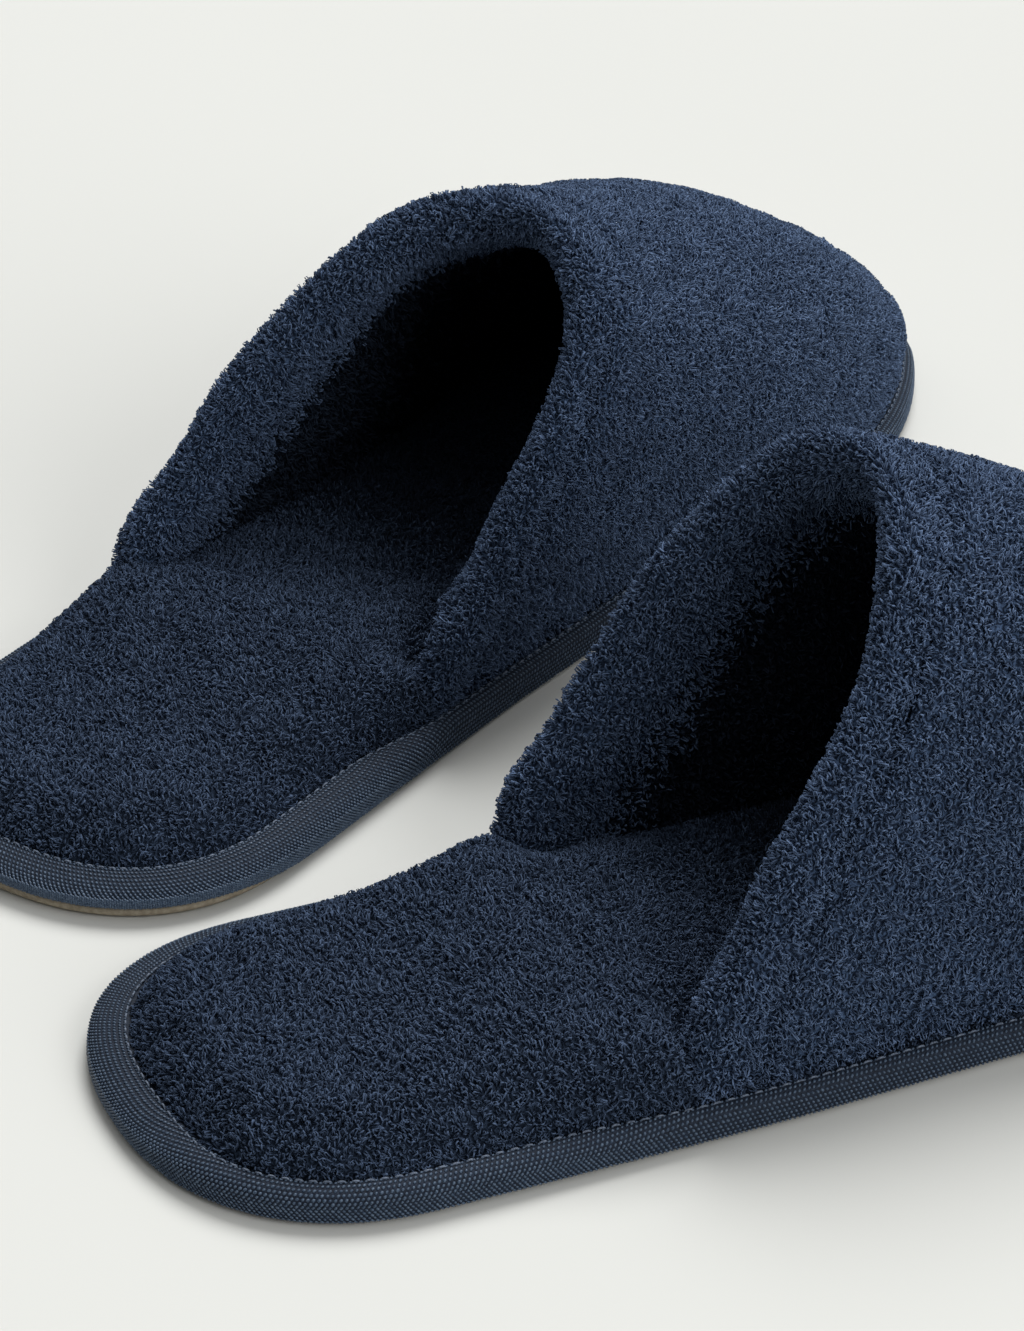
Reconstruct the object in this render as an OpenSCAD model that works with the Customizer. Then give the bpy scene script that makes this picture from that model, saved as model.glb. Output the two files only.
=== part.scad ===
// A pair of closed-toe spa slippers: padded terry mules on a foam sole whose edge is bound with tape.
// Each slipper is drawn in its own frame: x from the back of the heel to the toe, y towards the inner
// side of the foot, z up from the floor. right() and left() place it in the frame of the pair.

/* [Pair] */
// Angle that each slipper turns out from the pair's X axis
toe_out = 13.75; // [5:0.25:25]
// Distance of the left slipper's heel ahead of the right one's
heel_ahead = 23; // [0:0.5:40]
// Distance between the two heels across the pair
heel_apart = 81.3; // [80:0.1:140]

/* [Sole outline] */
// Length of the sole over the binding tape
sole_l = 291.5; // [260:0.5:310]
// Half width of the heel
heel_w = 45.5; // [36:0.1:50]
// Length of the rounded heel end
heel_l = 43.5; // [34:0.5:50]
// Half width of the waist, ahead of the heel
waist_w = 45.2; // [36:0.1:50]
// Half width of the ball, the sole's widest place
ball_w = 51; // [44:0.5:58]
// Distance of the ball from the back of the heel
ball_x = 206.5; // [190:0.5:215]
// How far the toe tip lies towards the inner side
toe_in = 12; // [0:0.5:20]
// How far the middle of the waist lies towards the outer side
waist_out = 2.7; // [0:0.1:5]
// how far the back of the heel swings to the inner side
heel_in = 2.4; // [0:0.1:5]

/* [Sole layers] */
// Thickness of the outsole sheet
outsole_t = 1.8; // [1.5:0.1:2]
// Thickness of the foam midsole
midsole_t = 1.6; // [1.2:0.1:1.8]
// Thickness of the insole board
board_t = 0.6; // [0.5:0.1:0.8]
// Thickness of the terry cloth
terry_t = 2.5; // [2:0.1:2.6]
// Height of the binding tape's top above the floor
tape_top = 6.8; // [6.7:0.1:7]
// Width of the tape's lip over the edge of the sole
lip_w = 3.4; // [3:0.1:4]
// Thickness of the binding tape
tape_t = 1; // [0.8:0.1:1.1]
// Clearance between neighbouring pieces
gap = 0.3; // [0.2:0.05:0.4]
// Station behind which the heel of the sole bends up
flex_x = 69.5; // [60:0.5:72]
// Height of the insole's crown above the floor
crown_z = 12.6; // [11.5:0.1:14]

/* [Upper] */
// Height of the upper's lower edge above the floor
base_z = 7.9; // [7.8:0.1:8.5]
// Height of the upper above its lower edge, at the collar
upper_h = 86.1; // [60:0.1:95]
// Station where the collar meets the sole
wing_x = 87.5; // [85:0.5:100]
// Station of the collar's crest over the instep
crest_x = 152.5; // [135:0.5:170]
// How far the instep's crest leans towards the inner side
crest_lean = 14; // [0:1:18]
// Distance of the upper's lower edge inside the tape's outer face
upper_in = 2; // [1.5:0.5:4]
// Thickness of the padding in the upper
padding_t = 4; // [2:0.5:5]
// Width of the rolled collar
collar_w = 13; // [10:0.5:15]
// Width of the sewing thread
thread_w = 0.8; // [0.6:0.1:1]

/* [Resolution] */
// Steps around the toe half of the sole, from the bend to the tip
toe_steps = 20; // [14:1:28]
// Steps around the heel half of the sole, from the bend to the back
heel_steps = 16; // [10:1:20]
// Steps along the upper
vamp_steps = 16; // [12:1:22]
// Steps over the upper, from side to side
arch_steps = 16; // [12:2:24]

/* [Hidden] */
navy = [0.16, 0.20, 0.29];
dark_navy = [0.12, 0.15, 0.21];
tan_brown = [0.66, 0.60, 0.50];
foam_grey = [0.75, 0.75, 0.73];
board_brown = [0.55, 0.43, 0.30];
thread_blue = [0.45, 0.52, 0.62];
// Middle of the pair, measured from the right slipper's heel
pair_mid = [153.91, 40.65];
// Levels of the sole layers
midsole_z = outsole_t + gap;
board_z = midsole_z + midsole_t + gap;
foam_z = board_z + board_t + gap;
lip_z = tape_top - tape_t;
// Rounding of the tape's edges
tape_bevel = 0.9;
// Distances inside the tape's outer face
outsole_in = 0.6;
layer_in = tape_t + gap;
pad_in = lip_w + gap;
swell_in = 9;
under_in = 12;
core_in = 34;
// Heights that the pad loses and the cloth gains between its edge and its crown
core_drop = 1.4;
edge_rise = 0.3;
// Stations and lengths over which the shape changes along the slipper
instep_x = 151.5;
waist_run = 100;
side_run = 115;
side_ease = 1.3;
arch_run = 90;
// Shares of toe_in reached by the slow and the sharp bend of the toe, and their exponents
toe_share = [0.45, 0.65];
toe_power = [1.5, 10];
// How far the collar's roll stands out of the upper's faces
collar_swell = 0.6;
// Exponents that shape the outline and the arches of the upper
heel_round = 2.3;
throat_round = 0.68;
arch_y = [1.08, 0.66];
arch_z = [0.56, 0.96];
// Share of the height lost in a straight line from the crest to the toe
toe_slope = 0.78;
toe_blunt = 10;

function smooth(k) = let(c = min(max(k, 0), 1)) c * c * (3 - 2 * c);
function toe_k(x, d) = min(max((x - ball_x) / (sole_l - ball_x - d), 0), 1);
function heel_k(x, d) = min(max((heel_l - x) / (heel_l - d), 0), 1);

// Half width of the outline at station x, where d is the distance inside the tape's outer face
function half_w(x, d) =
    x < heel_l ? (heel_w - d) * pow(1 - pow(heel_k(x, d), heel_round), 1 / heel_round)
    : x > ball_x ? (ball_w - d) * sqrt(1 - pow(toe_k(x, d), 2))
    : x < instep_x ? heel_w - d + (waist_w - heel_w) * smooth((x - heel_l) / waist_run)
    : waist_w - d + (ball_w - waist_w) * smooth((x - instep_x) / (ball_x - instep_x));

// Middle of the outline at station x
function mid_y(x, d) =
    let(k = toe_k(x, d))
    toe_in * (toe_share[0] * pow(k, toe_power[0]) + toe_share[1] * pow(k, toe_power[1]))
        + heel_in - (heel_in + waist_out) * (1 - pow(max(1 - x / side_run, 0), side_ease));

// Point on the outline, from s = -1 on the outer side through s = 0 at the tip to s = 1
function rim_pt(front, s, d) =
    let(
        end_x = front ? sole_l - d : d,
        cut_x = front ? flex_x + gap / 2 : flex_x - gap / 2,
        x = cut_x + (end_x - cut_x) * cos(90 * s),
        side = front ? sign(s) : -sign(s)
    )
    [x, mid_y(x, d) + side * (abs(s) < 0.001 ? 0 : half_w(x, d))];
function rim(front, d) =
    let(n = front ? toe_steps : heel_steps)
    [for (i = [-n:n]) rim_pt(front, i / n, d)];

// Flat layer of the sole
module slab(front, d, z, t) {
    translate([0, 0, z]) linear_extrude(t) polygon(rim(front, d));
}

// Solid swept along the half outline: each entry of section is [distance inside the tape, height],
// outwards along the bottom and back along the top. A closed section makes a strip. An open one
// starts and ends on the core, which it then spans.
module edge_sweep(front, section, closed) {
    n = front ? toe_steps : heel_steps;
    m = len(section);
    w = 2 * n + 1;
    points = [
        for (p = section)
            for (i = [-n:n])
                let(q = rim_pt(front, i / n, p[0]))
                [q[0], q[1], p[1]]
    ];
    skin = [
        for (j = [0:closed ? m - 1 : m - 2])
            for (i = [0:w - 2])
                let(a = j * w + i, b = ((j + 1) % m) * w + i)
                each [[a, b + 1, a + 1], [a, b, b + 1]]
    ];
    start = [for (j = [m - 1:-1:0]) j * w];
    finish = [for (j = [0:m - 1]) j * w + w - 1];
    caps = closed ? [start, finish] : [concat(start, finish)];
    span = closed ? [] : [
        for (j = [0, m - 1])
            for (i = [0:n - 1])
                let(
                    a = j * w + i,
                    b = j * w + w - 1 - i,
                    f = j == 0 ? [a, b - 1, b] : [a, b, b - 1],
                    g = j == 0 ? [a, a + 1, b - 1] : [a, b - 1, a + 1]
                )
                each i == n - 1 ? [f] : [f, g]
    ];
    polyhedron(points, concat(skin, caps, span));
}

// Height factor of the upper at station x, where d is the depth below its outer face
function rise(x, d) =
    let(k = min(max((x - instep_x) / (sole_l - upper_in - instep_x - d), 0), 1))
    (1 - toe_slope * k) * sqrt(1 - pow(k, toe_blunt));

// Point of the upper: t runs from the collar to the toe, a is the angle over the foot from the
// outer side, d is the depth below the outer face and back is the distance behind the collar's edge
function upper_pt(t, a, d, back) =
    let(
        s = sin(a),
        edge_x = wing_x + (crest_x - wing_x) * pow(s, throat_round) + back,
        x = edge_x + (sole_l - upper_in - d - edge_x) * sin(90 * t),
        k = smooth((x - instep_x) / arch_run),
        ey = arch_y[0] + (arch_y[1] - arch_y[0]) * k,
        ez = arch_z[0] + (arch_z[1] - arch_z[0]) * k,
        up = pow(s, ez),
        side = a < 90 ? -1 : 1
    )
    [
        x,
        mid_y(x, upper_in + d) + crest_lean * up * (1 - k)
            + side * half_w(x, upper_in + d) * pow(abs(cos(a)), ey),
        base_z + (upper_h - d) * rise(x, d) * up
    ];

// Arched shell of the upper between the depths d0 and d1
module shell(d0, d1) {
    n = vamp_steps;
    m = arch_steps;
    w = m + 1;
    size = n * w + 1;
    points = [
        for (d = [d0, d1])
            each concat(
                [for (i = [0:n - 1]) for (j = [0:m]) upper_pt(i / n, 180 * j / m, d, collar_w + gap)],
                [upper_pt(1, 0, d, 0)]
            )
    ];
    skin = [
        for (i = [0:n - 1])
            for (j = [0:m - 1])
                let(
                    a = i * w + j,
                    c = i == n - 1 ? n * w : a + w,
                    f = i == n - 1 ? [[a, a + 1, c]] : [[a, c + 1, c], [a, a + 1, c + 1]]
                )
                each f
    ];
    inner = [for (f = skin) [f[2] + size, f[1] + size, f[0] + size]];
    throat = [
        for (j = [0:m - 1])
            each [[j, j + 1 + size, j + 1], [j, j + size, j + 1 + size]]
    ];
    foot = [
        for (i = [0:n - 1])
            let(
                a = i * w,
                b = i == n - 1 ? n * w : a + w,
                c = a + m,
                e = i == n - 1 ? n * w : c + w
            )
            each [[a, b + size, a + size], [a, b, b + size], [c, e + size, e], [c, c + size, e + size]]
    ];
    polyhedron(points, concat(skin, inner, throat, foot));
}

module outsole_front() { color(tan_brown) slab(true, outsole_in, 0, outsole_t); }
module outsole_heel() { color(tan_brown) slab(false, outsole_in, 0, outsole_t); }
module midsole_front() { color(foam_grey) slab(true, layer_in, midsole_z, midsole_t); }
module midsole_heel() { color(foam_grey) slab(false, layer_in, midsole_z, midsole_t); }
module insole_board_front() { color(board_brown) slab(true, layer_in, board_z, board_t); }
module insole_board_heel() { color(board_brown) slab(false, layer_in, board_z, board_t); }

// Soft pad, crowned in the middle. Its front part starts inside the upper's wall, and its heel part
// starts next to the tape
module foam_pad(front) {
    start_in = (front ? under_in : swell_in) + gap;
    edge_sweep(front, [
        [core_in, foam_z],
        [start_in, foam_z],
        [start_in, foam_z + edge_rise],
        [core_in / 2, crown_z - terry_t - gap - core_drop],
        [core_in, crown_z - terry_t - gap]
    ], false);
}
module insole_foam_front() { color(foam_grey) foam_pad(true); }
module insole_foam_heel() { color(foam_grey) foam_pad(false); }

// Terry cover of the pad, whose edge is held under the tape's lip. The upper's wall keeps its front
// part low, and its heel part swells up next to the tape
module terry_cover(front) {
    start_in = front ? under_in : swell_in;
    edge_sweep(front, [
        [core_in, crown_z - terry_t],
        [core_in / 2, crown_z - terry_t - core_drop],
        [start_in, foam_z + edge_rise],
        [start_in, foam_z],
        [layer_in, foam_z],
        [layer_in, lip_z - gap],
        [pad_in, lip_z - gap],
        [pad_in + edge_rise, tape_top],
        [start_in, front ? tape_top + edge_rise : crown_z - core_drop],
        [core_in / 2, crown_z - core_drop / 2],
        [core_in, crown_z]
    ], false);
}
module insole_cover_front() { color(navy) terry_cover(true); }
module insole_cover_heel() { color(navy) terry_cover(false); }

// Woven tape: a wall around the layers and a lip over the edge of the insole
module tape(front) {
    edge_sweep(front, [
        [0, midsole_z + tape_bevel],
        [0, tape_top - 2 * tape_bevel],
        [tape_bevel / 2, tape_top - tape_bevel / 2],
        [2 * tape_bevel, tape_top],
        [lip_w, tape_top - tape_bevel / 4],
        [lip_w, lip_z],
        [tape_t + tape_bevel / 2, lip_z],
        [tape_t, lip_z - tape_bevel / 2],
        [tape_t, midsole_z],
        [tape_bevel / 2, midsole_z]
    ], true);
}
module binding_tape_front() { color(dark_navy) tape(true); }
module binding_tape_heel() { color(dark_navy) tape(false); }

// Row of sewing thread on the tape's lip
module thread(front) {
    d = lip_w - thread_w;
    z = tape_top + gap / 2;
    edge_sweep(front, [
        [d - thread_w / 2, z],
        [d - thread_w / 3, z + thread_w / 2],
        [d + thread_w / 3, z + thread_w / 2],
        [d + thread_w / 2, z]
    ], true);
}
module binding_thread_front() { color(thread_blue) thread(true); }
module binding_thread_heel() { color(thread_blue) thread(false); }

// Layers of the upper, from the outside in
padding_d = terry_t + gap;
lining_d = padding_d + padding_t + gap;
wall_t = lining_d + terry_t;
module upper_cover() { color(navy) shell(0, terry_t); }
module upper_padding() { color(foam_grey) shell(padding_d, padding_d + padding_t); }
module upper_lining() { color(dark_navy) shell(lining_d, wall_t); }

// Padded roll around the foot opening, an ellipse swept along the collar's edge
function unit(v) = v / norm(v);
module collar_roll() {
    ring = 10;
    m = 2 * arch_steps;
    half = (collar_w - gap) / 2;
    points = [
        for (j = [0:m])
            let(
                a = 180 * j / m,
                o = upper_pt(0, a, 0, 0),
                p = upper_pt(0, a, wall_t, 0),
                ahead = unit(upper_pt(0, a, 0, half) - o),
                out = unit(o - p),
                c = (o + p) / 2 + ahead * half
            )
            for (i = [0:ring - 1])
                let(b = 360 * i / ring)
                c + ahead * half * cos(b) + out * (wall_t / 2 + collar_swell) * sin(b)
    ];
    skin = [
        for (j = [0:m - 1])
            for (i = [0:ring - 1])
                let(a = j * ring + i, b = j * ring + (i + 1) % ring)
                each [[a, b, b + ring], [a, b + ring, a + ring]]
    ];
    caps = [[for (i = [ring - 1:-1:0]) i], [for (i = [0:ring - 1]) m * ring + i]];
    color(navy) polyhedron(points, concat(skin, caps));
}

module right() {
    translate([-pair_mid[0], -pair_mid[1], 0]) rotate([0, 0, -toe_out]) children();
}
module left() {
    translate([heel_ahead - pair_mid[0], heel_apart - pair_mid[1], 0])
        rotate([0, 0, toe_out]) mirror([0, 1, 0]) children();
}

left() outsole_front();  // left_outsole_front
left() outsole_heel();  // left_outsole_heel
left() midsole_front();  // left_midsole_front
left() midsole_heel();  // left_midsole_heel
left() insole_board_front();  // left_insole_board_front
left() insole_board_heel();  // left_insole_board_heel
left() insole_foam_front();  // left_insole_foam_front
left() insole_foam_heel();  // left_insole_foam_heel
left() insole_cover_front();  // left_insole_cover_front
left() insole_cover_heel();  // left_insole_cover_heel
left() binding_tape_front();  // left_binding_tape_front
left() binding_tape_heel();  // left_binding_tape_heel
left() binding_thread_front();  // left_binding_thread_front
left() binding_thread_heel();  // left_binding_thread_heel
left() upper_cover();  // left_upper_cover
left() upper_padding();  // left_upper_padding
left() upper_lining();  // left_upper_lining
left() collar_roll();  // left_collar_roll
right() outsole_front();  // right_outsole_front
right() outsole_heel();  // right_outsole_heel
right() midsole_front();  // right_midsole_front
right() midsole_heel();  // right_midsole_heel
right() insole_board_front();  // right_insole_board_front
right() insole_board_heel();  // right_insole_board_heel
right() insole_foam_front();  // right_insole_foam_front
right() insole_foam_heel();  // right_insole_foam_heel
right() insole_cover_front();  // right_insole_cover_front
right() insole_cover_heel();  // right_insole_cover_heel
right() binding_tape_front();  // right_binding_tape_front
right() binding_tape_heel();  // right_binding_tape_heel
right() binding_thread_front();  // right_binding_thread_front
right() binding_thread_heel();  // right_binding_thread_heel
right() upper_cover();  // right_upper_cover
right() upper_padding();  // right_upper_padding
right() upper_lining();  // right_upper_lining
right() collar_roll();  // right_collar_roll
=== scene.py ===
"""A pair of closed-toe terry spa slippers, standing on a pale floor.

Shapes are worked out in each slipper's own frame, in millimetres: x from the back of the heel to the toe,
y towards the inner side of the foot, z up from the floor. place() turns that into the pair's frame, in
metres.
"""
import math

import bpy
import numpy as np
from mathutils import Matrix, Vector


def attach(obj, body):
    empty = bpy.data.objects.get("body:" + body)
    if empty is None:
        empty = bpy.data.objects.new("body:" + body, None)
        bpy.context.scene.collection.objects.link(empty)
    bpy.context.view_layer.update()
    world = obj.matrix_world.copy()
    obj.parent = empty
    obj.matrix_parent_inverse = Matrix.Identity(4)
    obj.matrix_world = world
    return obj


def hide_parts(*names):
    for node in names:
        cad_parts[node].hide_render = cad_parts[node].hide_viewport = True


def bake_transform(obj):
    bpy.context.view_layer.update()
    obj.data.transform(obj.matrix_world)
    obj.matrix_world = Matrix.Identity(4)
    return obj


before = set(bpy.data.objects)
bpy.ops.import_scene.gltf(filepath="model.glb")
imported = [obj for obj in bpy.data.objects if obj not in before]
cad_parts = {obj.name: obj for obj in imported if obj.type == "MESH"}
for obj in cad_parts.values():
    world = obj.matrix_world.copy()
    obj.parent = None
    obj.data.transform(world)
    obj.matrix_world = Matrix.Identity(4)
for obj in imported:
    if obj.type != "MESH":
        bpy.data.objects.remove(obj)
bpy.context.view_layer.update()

MM = 0.001

# ---------------------------------------------------------------- dimensions, as in the CAD part
TOE_OUT = math.radians(13.75)
HEEL_AHEAD, HEEL_APART = 23.0, 81.3
PAIR_MID = (153.91, 40.65)
SOLE_L, HEEL_W, HEEL_L, WAIST_W, BALL_W, BALL_X = 291.5, 45.5, 43.5, 45.2, 51.0, 206.5
TOE_IN, TOE_SHARE, TOE_POWER, WAIST_OUT, HEEL_IN = 12.0, (0.45, 0.65), (1.5, 10), 2.7, 2.4
INSTEP_X, WAIST_RUN, SIDE_RUN, SIDE_EASE, ARCH_RUN = 151.5, 100.0, 115.0, 1.3, 90.0
HEEL_ROUND = 2.3
# Height of each tape's lip, its width, and how much wider it is at the heel and on the heel's inner side
TAPE_TOPS = {"right": 6.3, "left": 6.8}
LIP_W, LIP_MORE = 3.4, (1.5, 2.9)
WING_X, CREST_X, CREST_LEAN = 87.5, 152.5, 14.0
THROAT_ROUND, ARCH_Y, ARCH_Z = 0.68, (1.08, 0.66), (0.56, 0.96)
TOE_SLOPE, TOE_BLUNT = 0.78, 10
UPPER_H, UPPER_IN = 86.1, 2.0
BASE_Z = 7.9
WALL_T, CLOTH_T = 9.6, 1.2

# ---------------------------------------------------------------- camera, in metres and degrees
CAMERA_PLACE = (-0.4955, -0.5788, 0.4789)
CAMERA_TURN, CAMERA_PITCH = -38.65, 31.2
LENS_MM, SENSOR_MM = 121.75, 36.0


# ---------------------------------------------------------------- shape of the sole and the upper
def smooth(k):
    """Eased step from 0 to 1."""
    k = np.clip(k, 0, 1)
    return k * k * (3 - 2 * k)


def half_w(x, d):
    """Half width of the outline at station x, d inside the tape's outer face."""
    x = np.asarray(x, float)
    heel_k = np.clip((HEEL_L - x) / (HEEL_L - d), 0, 1)
    toe_k = np.clip((x - BALL_X) / (SOLE_L - BALL_X - d), 0, 1)
    heel = (HEEL_W - d) * (1 - heel_k**HEEL_ROUND) ** (1 / HEEL_ROUND)
    waist = HEEL_W - d + (WAIST_W - HEEL_W) * smooth((x - HEEL_L) / WAIST_RUN)
    ball = WAIST_W - d + (BALL_W - WAIST_W) * smooth((x - INSTEP_X) / (BALL_X - INSTEP_X))
    toe = (BALL_W - d) * np.sqrt(1 - toe_k**2)
    return np.where(x < HEEL_L, heel, np.where(x > BALL_X, toe, np.where(x < INSTEP_X, waist, ball)))


def mid_y(x, d):
    """How far the middle of the outline swings to the inner side at station x."""
    k = np.clip((np.asarray(x, float) - BALL_X) / (SOLE_L - BALL_X - d), 0, 1)
    bend = TOE_SHARE[0] * k ** TOE_POWER[0] + TOE_SHARE[1] * k ** TOE_POWER[1]
    swing = 1 - (1 - np.clip(np.asarray(x) / SIDE_RUN, 0, 1)) ** SIDE_EASE
    return TOE_IN * bend + HEEL_IN - (HEEL_IN + WAIST_OUT) * swing


def ring(d, n):
    """Closed outline d inside the tape, anticlockwise: 4n points, from the cut over toe and heel."""
    cut = INSTEP_X
    s = np.sin(np.radians(90 * np.arange(n) / n))
    toe = cut + (SOLE_L - d - cut) * s
    heel = cut + (d - cut) * s
    x = np.concatenate([toe, [SOLE_L - d], toe[::-1][:-1], heel, [d], heel[::-1][:-1]])
    side = np.concatenate([-np.ones(n), [0], np.ones(n - 1), np.ones(n), [0], -np.ones(n - 1)])
    return np.column_stack([x, mid_y(x, d) + side * half_w(x, d)])


def even_outline(n):
    """Tape's outer outline as n evenly spaced points with their inward normals and arc lengths."""
    p = ring(0.0, 400)
    p = np.vstack([p, p[:1]])
    s = np.concatenate([[0], np.cumsum(np.linalg.norm(np.diff(p, axis=0), axis=1))])
    at = np.linspace(0, s[-1], n, endpoint=False)
    q = np.column_stack([np.interp(at, s, p[:, 0]), np.interp(at, s, p[:, 1])])
    tangent = np.roll(q, -3, axis=0) - np.roll(q, 3, axis=0)
    tangent /= np.linalg.norm(tangent, axis=1, keepdims=True)
    return q, np.column_stack([-tangent[:, 1], tangent[:, 0]]), at, s[-1]


def upper_pt(t, a, d, back=0.0):
    """Point of the upper: t from the collar to the toe, a over the foot, d below the outer face."""
    s = np.sin(a)
    edge = WING_X + (CREST_X - WING_X) * np.clip(s, 0, 1) ** THROAT_ROUND + back
    x = edge + (SOLE_L - UPPER_IN - d - edge) * t
    k = smooth((x - INSTEP_X) / ARCH_RUN)
    ey = ARCH_Y[0] + (ARCH_Y[1] - ARCH_Y[0]) * k
    ez = ARCH_Z[0] + (ARCH_Z[1] - ARCH_Z[0]) * k
    up = np.clip(s, 0, 1) ** ez
    q = np.clip((x - INSTEP_X) / (SOLE_L - UPPER_IN - INSTEP_X - d), 0, 1)
    rise = (1 - TOE_SLOPE * q) * np.sqrt(1 - q**TOE_BLUNT)
    z = BASE_Z + (UPPER_H - d) * rise * up
    side = np.where(a < math.pi / 2, -1.0, 1.0)
    y = mid_y(x, UPPER_IN + d) + CREST_LEAN * up * (1 - k)
    y = y + side * half_w(x, UPPER_IN + d) * np.abs(np.cos(a)) ** ey
    return np.stack([x, y, z], -1)


def place(points, side):
    """Slipper's own frame in millimetres to the pair's frame in metres."""
    p = np.array(points, float)
    turn = -TOE_OUT if side == "right" else TOE_OUT
    mirror = 1.0 if side == "right" else -1.0
    move = (0.0, 0.0) if side == "right" else (HEEL_AHEAD, HEEL_APART)
    c, s = math.cos(turn), math.sin(turn)
    x, y = p[..., 0], p[..., 1] * mirror
    x, y = x * c - y * s + move[0] - PAIR_MID[0], x * s + y * c + move[1] - PAIR_MID[1]
    return np.stack([x, y, p[..., 2]], -1) * MM


# ---------------------------------------------------------------- mesh helpers
def grid_faces(rows, cols, wrap=False, first=0):
    """Quads between consecutive rows of cols points each."""
    i, j = np.meshgrid(np.arange(rows - 1), np.arange(cols if wrap else cols - 1), indexing="ij")
    a = first + i * cols + j
    b = first + i * cols + (j + 1) % cols
    return np.stack([a, b, b + cols, a + cols], -1).reshape(-1, 4)


def finer(grid, axis, wrap=False):
    """Doubles a grid of points along one axis on a smooth curve through them."""
    g = np.moveaxis(grid, axis, 0)
    if wrap:
        before, a, b, after = np.roll(g, 1, 0), g, np.roll(g, -1, 0), np.roll(g, -2, 0)
    else:
        a, b = g[:-1], g[1:]
        before = np.concatenate([2 * g[:1] - g[1:2], g[:-2]])
        after = np.concatenate([g[2:], 2 * g[-1:] - g[-2:-1]])
    middle = (9 * (a + b) - before - after) / 16
    out = np.empty((len(a) * 2, *g.shape[1:]))
    out[0::2], out[1::2] = a, middle
    if not wrap:
        out = np.concatenate([out, g[-1:]])
    return np.moveaxis(out, 0, axis)


def raw_mesh(name, co, faces):
    """Mesh from points in metres and arrays of quads or triangles."""
    loops = np.concatenate([np.asarray(f, np.int32).ravel() for f in faces])
    totals = np.concatenate([np.full(len(f), np.shape(f)[1], np.int32) for f in faces])
    mesh = bpy.data.meshes.new(name)
    mesh.vertices.add(len(co))
    mesh.vertices.foreach_set("co", co.astype(np.float32).ravel())
    mesh.loops.add(len(loops))
    mesh.loops.foreach_set("vertex_index", loops)
    mesh.polygons.add(len(totals))
    mesh.polygons.foreach_set("loop_start", np.concatenate([[0], np.cumsum(totals)[:-1]]).astype(np.int32))
    mesh.polygons.foreach_set("loop_total", totals)
    mesh.update(calc_edges=True)
    return mesh


def new_mesh(name, points, faces, side, mat):
    """Smooth-shaded object from slipper-frame points: the left slipper is the mirror image."""
    if side == "left":
        faces = [np.asarray(f)[:, ::-1] for f in faces]
    mesh = raw_mesh(name, place(points, side), faces)
    mesh.shade_smooth()
    obj = bpy.data.objects.new(name, mesh)
    bpy.context.scene.collection.objects.link(obj)
    mesh.materials.append(mat)
    return obj


def vertex_normals(points, faces):
    """Normals of the vertices, weighted by the area of the faces around them."""
    n = np.zeros_like(points)
    for f in faces:
        f = np.asarray(f)
        across = np.cross(points[f[:, 1]] - points[f[:, 0]], points[f[:, -1]] - points[f[:, 0]])
        for k in range(f.shape[1]):
            np.add.at(n, f[:, k], across)
    return n / np.maximum(np.linalg.norm(n, axis=1, keepdims=True), 1e-12)


def lumps(points, size, seed):
    """Smooth noise from about -1 to 1 made of a few sine waves, the same on every run."""
    rng = np.random.default_rng(seed)
    total = np.zeros(len(points))
    for _ in range(9):
        k = rng.normal(size=3)
        k *= 2 * math.pi / (size * rng.uniform(0.7, 1.6) * np.linalg.norm(k))
        total += np.sin(points @ k + rng.uniform(0, 2 * math.pi))
    return total / 4.5


def apply_modifiers(obj):
    """Makes the modifiers' result the piece's own mesh."""
    bpy.context.view_layer.update()
    mesh = bpy.data.meshes.new_from_object(obj.evaluated_get(bpy.context.evaluated_depsgraph_get()))
    old = obj.data
    obj.modifiers.clear()
    obj.data = mesh
    bpy.data.meshes.remove(old)


def thick(obj, depth):
    """Gives an open surface a cloth's thickness on its inner side, as real closed geometry."""
    modifier = obj.modifiers.new("cloth", "SOLIDIFY")
    modifier.thickness = depth * MM
    modifier.offset = -1
    apply_modifiers(obj)


# The simulation runs on a copy ten times as large, where cloth behaves well
SIM_FRAMES, SIM_SCALE = 20, 10.0
SIM_QUALITY, STRETCH_STIFFNESS, BEND_STIFFNESS = 6, 25, 2


def inflate(points, faces, held, pressure, cap):
    """Cloth simulation of a closed shape under pressure: held points stay, and none moves beyond cap."""
    mesh = raw_mesh("soft", points * MM * SIM_SCALE, faces)
    obj = bpy.data.objects.new("soft", mesh)
    scene = bpy.context.scene
    scene.collection.objects.link(obj)
    group = obj.vertex_groups.new(name="held")
    for i in np.flatnonzero(held > 0):
        group.add([int(i)], float(held[i]), "REPLACE")
    cloth = obj.modifiers.new("cloth", "CLOTH")
    settings = cloth.settings
    settings.effector_weights.gravity = 0
    settings.use_pressure = True
    settings.uniform_pressure_force = pressure
    settings.vertex_group_mass = "held"
    settings.quality = SIM_QUALITY
    settings.tension_stiffness = settings.compression_stiffness = STRETCH_STIFFNESS
    settings.bending_stiffness = BEND_STIFFNESS
    cloth.point_cache.frame_start, cloth.point_cache.frame_end = 1, SIM_FRAMES
    for step in range(1, SIM_FRAMES + 1):
        scene.frame_set(step)
    soft = obj.evaluated_get(bpy.context.evaluated_depsgraph_get()).to_mesh()
    co = np.zeros(len(soft.vertices) * 3, np.float32)
    soft.vertices.foreach_get("co", co)
    scene.frame_set(1)
    bpy.data.objects.remove(obj)
    bpy.data.meshes.remove(mesh)
    move = co.reshape(-1, 3) / (MM * SIM_SCALE) - points
    far = np.linalg.norm(move, axis=1, keepdims=True)
    return points + move * np.minimum(1, cap / np.maximum(far, 1e-9))


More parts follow.
